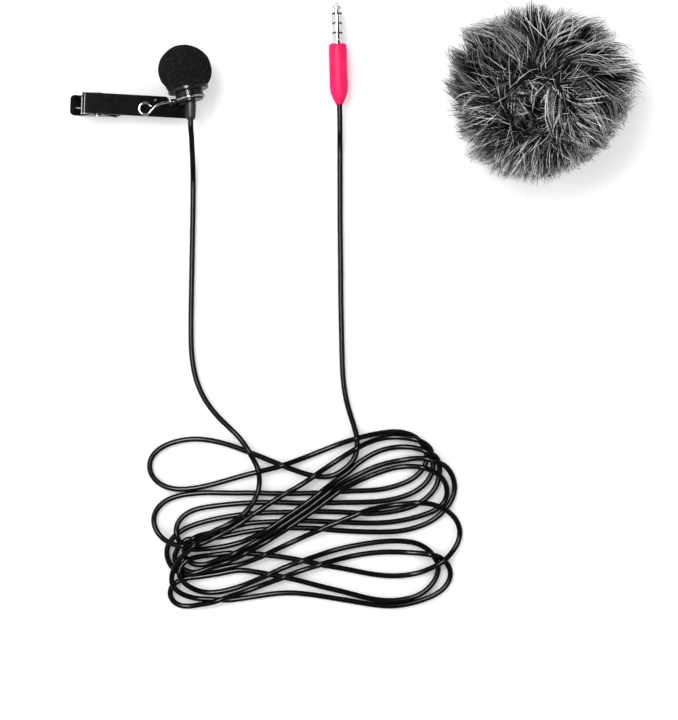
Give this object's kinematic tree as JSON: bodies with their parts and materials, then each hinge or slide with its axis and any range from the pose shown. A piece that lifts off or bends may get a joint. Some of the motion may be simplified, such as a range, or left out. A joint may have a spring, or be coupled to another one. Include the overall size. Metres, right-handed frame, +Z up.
{
  "type": "lavalier microphone",
  "caption": "Clip-on microphone with a foam ball, a sprung clip with a wire holder, a thin cable in a loose hank, a small audio plug and a separate fur windshield.",
  "frame": {"origin": "on the flat underside of the clip's lower jaw, on the clip's centreline and on the table", "axes": "+Z up from the table, +X along the clip towards the microphone, +Y the way the foam ball and the plug point"},
  "size_m": [0.1918, 0.2118, 0.034],
  "materials": {
    "housing_paint": "satin black",
    "grille_steel": "dark, perforated",
    "capsule_aluminium": "satin",
    "sleeve_rubber": "matt",
    "board_green": "solder mask",
    "lead_insulation": "smooth",
    "boot_rubber": "matt",
    "foam_black": "open-cell foam",
    "wire_nickel": "dark nickel",
    "jaw_gloss": "gloss black",
    "pin_steel": "dark nickel",
    "spring_steel": "bright",
    "cable_rubber": "satin",
    "hank_cable": "strands of cable with air between",
    "plug_nickel": "polished",
    "plug_black": "smooth",
    "tag_brass": "plain",
    "handle_pink": "satin pink",
    "fur_hair": "long hair, black below and grey-white at the tips",
    "fur_knit": "knitted",
    "elastic_band": "woven"
  },
  "bodies": {
    "mic": {"mic_housing": "housing_paint", "mic_grille": "grille_steel", "electret_capsule": "capsule_aluminium", "capsule_sleeve": "sleeve_rubber", "capsule_board": "board_green", "capsule_leads": "lead_insulation", "cable_boot": "boot_rubber", "cable_mic_end": "cable_rubber", "cable_hank": "hank_cable", "cable_plug_end": "cable_rubber", "plug_tip": "plug_nickel", "plug_ring_1": "plug_nickel", "plug_ring_2": "plug_nickel", "plug_sleeve": "plug_nickel", "plug_insulators": "plug_black", "plug_solder_tags": "tag_brass", "plug_handle": "handle_pink"},
    "clip": {"wire_holder": "wire_nickel", "clip_upper_jaw": "jaw_gloss", "clip_pin": "pin_steel", "clip_spring": "spring_steel"},
    "lower_jaw": {"clip_lower_jaw": "jaw_gloss", "clip_spring_leg": "spring_steel"},
    "foam": {"foam_windscreen": "foam_black"},
    "fur": {"fur_pile": "fur_hair", "fur_backing": "fur_knit", "fur_elastic": "elastic_band"}
  },
  "joints": [
    {"name": "clip_turn", "type": "hinge", "parent": "mic", "child": "clip", "pos_m": [0.0197, 0.0028, 0.009], "axis": [-0.2419, 0.9703, 0], "continuous": true},
    {"name": "jaw_open", "type": "hinge", "parent": "clip", "child": "lower_jaw", "pos_m": [-0.0121, 0, 0.0049], "axis": [0, 1, 0], "range_deg": [0, 46], "stiffness_Nm_per_rad": 0.03, "springref_deg": -57.3},
    {"name": "foam_pull", "type": "slide", "parent": "mic", "child": "foam", "axis": [-0.2419, 0.9703, 0], "range_m": [0, 0.02]},
    {"name": "fur_lift", "type": "slide", "parent": "mic", "child": "fur", "axis": [0, 0, 1], "range_m": [0, 0.05]}
  ]
}
